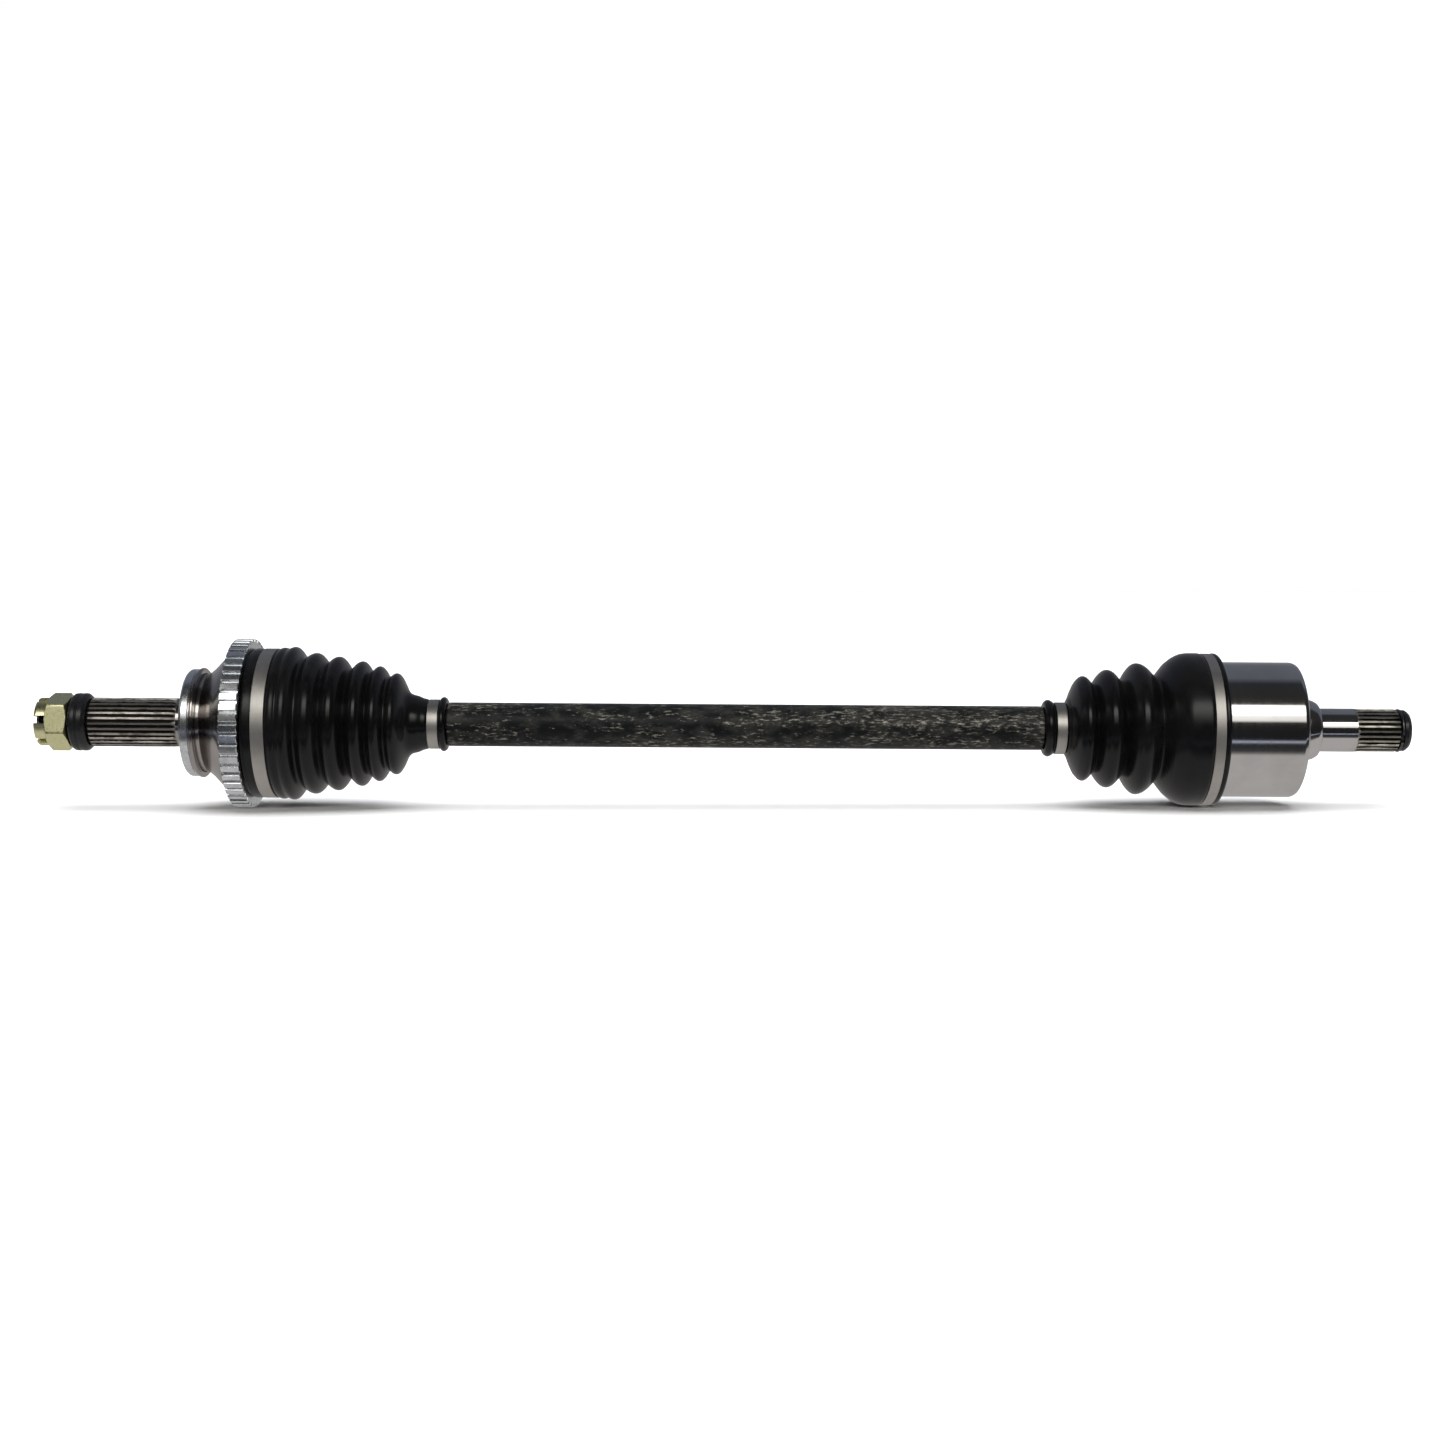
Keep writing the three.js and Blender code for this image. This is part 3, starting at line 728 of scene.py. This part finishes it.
boot_seat("inner", "seat", INNER_SEAT, 293.4, "transmission_side", ["inner_boot"])
boot_bend("inner", "bulb", INNER_SEAT, PLUNGE_END)
boot_bend("inner", "shoulder", PLUNGE_END, SWING_END)
boot_bend("inner", "folds", SWING_END, SHAFT_END)
boot_seat("inner", "neck", 190.8, SHAFT_END, "half_shaft")


# ------------------------------------------------------------------ clamp bands
LAP_START, LAP_END = -0.62, -0.14       # where the band's free end lies, in radians from the back (+Y)


def clamp_band(name, x0, x1, inner, outer):
    """A strip wound once round, with its free end lapped over the band."""
    def lapped(r):
        def radius(a):
            d = (a + math.pi) % TAU - math.pi
            return r + (outer - inner) * 0.42 * ((d > LAP_START) & (d < LAP_END))
        return radius

    edge, step = 0.22, 0.002
    steps = [(lap + side) % TAU for lap in (LAP_START, LAP_END) for side in (-step, step)]
    angles = np.sort(np.concatenate([np.arange(SIDES) * TAU / SIDES, steps]))
    rows = [(x0, inner), (x0, lapped(outer - edge)), (x0 + edge, lapped(outer)), (x1 - edge, lapped(outer)),
            (x1, lapped(outer - edge)), (x1, inner)]
    return lathe(name, rows, angles, closed=True, sharp=30)


def clamp_ear(name, x0, x1, inner, outer, ear):
    """A loop of strip at the back (+Y) that rises, pinches in above the band and comes back down."""
    t = outer - inner
    half, y0 = ear * 0.95, outer - 0.5
    rise = [(half * 1.5, y0 - 0.25), (half * 1.15, y0 + 0.15), (half * 0.72, y0 + ear * 0.45),
            (half * 0.62, y0 + ear * 0.8), (half * 0.36, y0 + ear * 1.02)]
    loop = [(-z, y) for z, y in rise] + [(0, y0 + ear * 0.98)] + rise[::-1]
    pts = smooth_line([Vector(p) for p in loop], 6)
    verts, faces = [], []
    width = (x1 - x0) * 0.5 - 0.5
    middle = (x0 + x1) / 2
    for i, p in enumerate(pts):
        a, b = pts[max(0, i - 1)], pts[min(len(pts) - 1, i + 1)]
        side = Vector((-(b - a).y, (b - a).x)).normalized() * t / 2
        for q, dx in ((p - side, -width), (p + side, -width), (p + side, width), (p - side, width)):
            verts.append(((middle + dx) * MM, q.y * MM, q.x * MM))
    for i in range(len(pts) - 1):
        for k in range(4):
            faces.append([4 * i + k, 4 * i + (k + 1) % 4, 4 * i + 4 + (k + 1) % 4, 4 * i + 4 + k])
    faces += [[0, 1, 2, 3], [len(verts) - 4 + k for k in (3, 2, 1, 0)]]
    return finished(name, verts, faces)


def clamp(name, x0, x1, inner, outer, ear, body, node):
    band = clamp_band(name + "_band", x0, x1, inner, outer)
    strip = clamp_ear(name + "_ear", x0, x1, inner, outer, ear)
    dress(merged(name, band, strip), body, STAINLESS, nodes=[node])


def smooth_line(pts, n):
    """A Catmull-Rom line through the points, n steps to each span."""
    out = []
    for i in range(len(pts) - 1):
        p0, p1, p2, p3 = pts[max(0, i - 1)], pts[i], pts[i + 1], pts[min(len(pts) - 1, i + 2)]
        for k in range(n):
            t = k / n
            out.append(0.5 * (2 * p1 + (p2 - p0) * t + (2 * p0 - 5 * p1 + 4 * p2 - p3) * t * t
                              + (3 * p1 - p0 - 3 * p2 + p3) * t ** 3))
    return out + [pts[-1]]


clamp("outer_clamp_wide", -273.0, -265.2, 43.8, 44.6, 3.2, "wheel_side", "outer_clamp_large")
clamp("outer_clamp_narrow", -175.6, -169.1, 14.0, 14.8, 2.6, "half_shaft", "outer_clamp_small")
clamp("inner_clamp_narrow", 197.5, 203.6, 14.7, 15.5, 2.6, "half_shaft", "inner_clamp_small")
clamp("inner_clamp_wide", 284.0, 290.0, 44.5, 45.2, 3.2, "transmission_side", "inner_clamp_large")


# ------------------------------------------------------------------ shaft
shaft = soften([
    (-296.5, 0), (-296.5, 10.8), (-295.4, 11.9), (-294.2, 11.9), (-294.2, 10), (-292.4, 10),
    (-292.4, 11.9), (-267.7, 11.9), (-267.7, 13.8), (-265.4, 13.8), (-262.6, 10.0), (-186, 10.0),
    (-183, 11.0), (-164.2, 11.0), (-164.2, 12.6), (-163.4, 13.1), (-80, 13.1), (0, 13.1), (100, 13.1),
    (189.7, 13.1), (190.5, 12.6), (190.5, 11.0), (292.6, 11.0), (295.2, 13.6), (297.8, 13.6),
    (297.8, 11.9), (318.3, 11.9), (318.3, 10), (320.1, 10), (320.1, 11.9), (321.6, 11.9),
    (322.6, 10.9), (322.6, 0)], 0.4, 3)
dress(lathe("shaft_bar", shaft), "half_shaft", BAR, nodes=["axle_bar"])


# ------------------------------------------------------------------ inner joint housing with its stub
def make_housing():
    rows = [(336, 0), (336, 20), (334.5, 34), (330, 36.8), (284.6, 37), (283.4, 37.6)]
    rows += soften([
        (283.0, 38.4), (283.0, 39.7), (283.6, 40.26), (284.6, 40.26), (336.4, 40.26), (337.2, 40.26),
        (339.4, 39.5), (340.3, 37.6), (340.3, 20.6), (341.2, 19.5), (346.4, 18.8), (351, 17.6),
        (353.2, 16.4), (354, 15.6), (354, 13.6), (354.6, 12.95), (355.6, 12.95), (375.0, 12.95),
        (375.5, 12.95), (375.8, 12.95)], 0.7, 4)
    for k in range(7):                          # run-out at the inner end of the spline
        t = k / 6
        rows.append((376.4 + 2.4 * t, spline_radius(DIFF_TEETH, 12.6 - 1.1 * math.sqrt(t), 12.9 - 0.2 * t)))
    rows += [(x, spline_radius(DIFF_TEETH, DIFF_ROOT, tip))
             for x, tip in ((385, DIFF_TIP), (393, DIFF_TIP), (400.6, DIFF_TIP), (401.2, 12.4))]
    rows += [(401.6, 11.4), (401.6, 10.6), (404, 10.6)]
    rows += soften([(404, 11.5), (404, 12.3), (406.2, 12.3), (HIGH, 10.6), (HIGH, 3.1), (405.6, 0)], 0.3, 3)
    return lathe("inner_joint_housing", rows, tooth_angles(DIFF_TEETH, SPLINE_MARKS), sharp=38)


dress(make_housing(), "transmission_side", [HOUSING, DIFF_SPLINE, BLACK],
      zones=[(375.9, 0), (401.7, 1), (900, 2)], nodes=["tripod_housing"])


def make_circlip():
    """Round wire bent into an open ring."""
    wire, open_half, at = 0.85, math.radians(11), math.radians(200)
    verts, faces = [], []
    count, around = 96, 12
    for i in range(count + 1):
        a = at + open_half + (TAU - 2 * open_half) * i / count
        for k in range(around):
            b = TAU * k / around
            r = 12.05 + wire * math.cos(b)
            verts.append(((402.8 + wire * math.sin(b)) * MM, r * math.cos(a) * MM, r * math.sin(a) * MM))
    for i in range(count):
        for k in range(around):
            j = (k + 1) % around
            faces.append([i * around + k, i * around + j, (i + 1) * around + j, (i + 1) * around + k])
    faces += [list(range(around)), list(range(count * around, (count + 1) * around))]
    return finished("stub_retaining_clip", verts, faces)


dress(make_circlip(), "transmission_side", SPRING, nodes=["stub_circlip"])

# ------------------------------------------------------------------ pieces inside the joints
hidden = {"outer_race": BEARING, "outer_cage": BEARING, "tripod_spider": BEARING,
          "race_circlip": SPRING, "spider_circlip": SPRING}
hidden.update({f"outer_ball_{i}": BEARING for i in range(1, 7)})
for i in (1, 2, 3):
    hidden.update({f"tripod_roller_{i}": BEARING, f"roller_needles_{i}": BEARING,
                   f"roller_clip_{i}": SPRING})
for name, mat in hidden.items():
    node = frame["nodes"][name]
    node.data.materials.clear()
    node.data.materials.append(mat)

# ------------------------------------------------------------------ floor, light, camera
# The axle lies on its tone ring and on the inner boot's lip.
left, right = (-280.0, -50.0), (292.2, -45.5)
slope = math.atan2(right[1] - left[1], right[0] - left[0])
floor_mesh = bpy.data.meshes.new("studio_floor")
reach = 30.0
corners = [(-reach, -reach, 0), (reach, -reach, 0), (reach, reach, 0), (-reach, reach, 0)]
floor_mesh.from_pydata(corners, [], [[0, 1, 2, 3]])
floor = bpy.data.objects.new("studio_floor", floor_mesh)
scene.collection.objects.link(floor)
floor.matrix_world = (Matrix.Translation((left[0] * MM, 0, left[1] * MM)) @ Matrix.Rotation(-slope, 4, "Y"))
paper = material("studio_paper", (0.86, 0.86, 0.86), 0.0, 0.9, Specular_IOR_Level=0.1)
floor.data.materials.append(paper)
floor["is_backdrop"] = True


def in_front(elevation, distance):
    """A place in front of the axle (-Y), raised by elevation in degrees."""
    e = math.radians(elevation)
    return (0, -distance * math.cos(e), distance * math.sin(e))


# An even light from above for the paper. It leaves no glint: those come from the room below.
overhead = bpy.data.lights.new("overhead", "SUN")
overhead.energy, overhead.angle = 4.8, math.radians(75)
overhead_light = bpy.data.objects.new("overhead", overhead)
scene.collection.objects.link(overhead_light)
overhead_light.rotation_euler = (math.radians(-12), 0, 0)
overhead_light.visible_glossy = False
floor.visible_glossy = False

# The room as bands round the X axis: degrees from the front (-Y) up over the top, and brightness.
ROOM = [(-180, 0.42), (-100, 0.58), (-41, 0.58), (-33, 0.055), (-19, 0.03), (-17.6, 0.8), (-16.4, 0.8),
        (-15, 0.02), (16, 0.02), (46, 0.03), (90, 0.04), (100, 0.17), (150, 0.20), (180, 0.42)]
SOFTBOX = [(-180, 0.0), (16, 0.0), (19, 0.36), (27, 0.40), (30.5, 1.0), (43.5, 1.0), (47, 0.0), (180, 0.0)]
# The bands' colour, by the same degrees.
WARM, COOL, LAMP = (1.0, 0.972, 0.955), (0.86, 0.93, 1.12), (1.0, 0.99, 0.95)
TINT = [(-180, WARM), (-36, WARM), (-20, COOL), (-15, COOL), (10, LAMP), (60, LAMP), (95, COOL),
        (150, COOL), (180, WARM)]
SOFTBOX_LIGHT = 3.6
SOFTBOX_ENDS = (0.40, 0.62)      # share of a direction that points along X where the softbox fades
WHEEL_END = (-0.74, -1.0)        # and where, towards the wheel, the front's bands take over
WHEEL_END_LIGHT = 1.0
world = bpy.data.worlds.new("studio")
scene.world = world
world.use_nodes = True
tree = world.node_tree
tree.nodes.clear()


def world_node(kind, *inputs, operation=None):
    """A node whose first inputs are the given sockets or values. None leaves an input as it is."""
    node = tree.nodes.new("ShaderNode" + kind)
    if operation:
        node.operation = operation
    for target, value in zip(node.inputs, inputs):
        if isinstance(value, bpy.types.NodeSocket):
            tree.links.new(value, target)
        elif value is not None:
            target.default_value = value
    return node


def world_math(operation, *values):
    return world_node("Math", *values, operation=operation).outputs[0]


def world_span(value, source, target, smooth=True):
    """The value, with the stretch source mapped onto the stretch target."""
    node = world_node("MapRange", value, *source, *target)
    node.interpolation_type = "SMOOTHSTEP" if smooth else "LINEAR"
    return node.outputs[0]


def world_ramp(angle, levels):
    node = world_node("ValToRGB", angle)
    stops = node.color_ramp.elements
    while len(stops) < len(levels):
        stops.new(0.5)
    for stop, (degrees, light) in zip(stops, levels):
        stop.position = (degrees + 180) / 360
        stop.color = (*light, 1) if isinstance(light, tuple) else (light, light, light, 1)
    return node.outputs[0]


split = world_node("SeparateXYZ", world_node("TexCoord").outputs["Generated"])
along, across, up = split.outputs
# Towards the wheel a direction counts as more and more in front, and gets its own share of the softbox.
wheel_end = world_span(along, WHEEL_END, (0.0, 0.7))
angle = world_math("ARCTAN2", up, world_math("SUBTRACT", wheel_end, across))
place = world_span(angle, (-math.pi, math.pi), (0.0, 1.0), smooth=False)
window = world_span(world_math("ABSOLUTE", along), SOFTBOX_ENDS, (SOFTBOX_LIGHT, 0.0))
both = world_math("ADD", window, world_math("MULTIPLY", wheel_end, WHEEL_END_LIGHT))
strip = world_math("MULTIPLY", world_ramp(place, SOFTBOX), both)
total = world_math("ADD", world_ramp(place, ROOM), strip)
room = world_node("Background", world_ramp(place, TINT), total)
# The camera itself sees plain white behind the floor.
seen = world_node("Background", (1, 1, 1, 1))
direct = world_node("LightPath").outputs["Is Camera Ray"]
world_node("OutputWorld", world_node("MixShader", direct, room.outputs[0], seen.outputs[0]).outputs[0])

camera_data = bpy.data.cameras.new("camera")
camera_data.lens, camera_data.sensor_width = 50.3, 36.0
camera_data.clip_end = 100
camera = bpy.data.objects.new("camera", camera_data)
scene.collection.objects.link(camera)
CAMERA_ELEVATION, CAMERA_DISTANCE, CAMERA_ROLL = 4.0, 1.207, math.radians(0.38)
CAMERA_AIM = Vector((-0.0005, 0, 0.0021))
camera.location = in_front(CAMERA_ELEVATION, CAMERA_DISTANCE)
aim = (CAMERA_AIM - camera.location).to_track_quat("-Z", "Y").to_matrix().to_4x4()
camera.matrix_world = Matrix.Translation(camera.location) @ aim @ Matrix.Rotation(CAMERA_ROLL, 4, "Z")
scene.camera = camera

scene.view_settings.view_transform = "Standard"
scene.view_settings.look = "None"
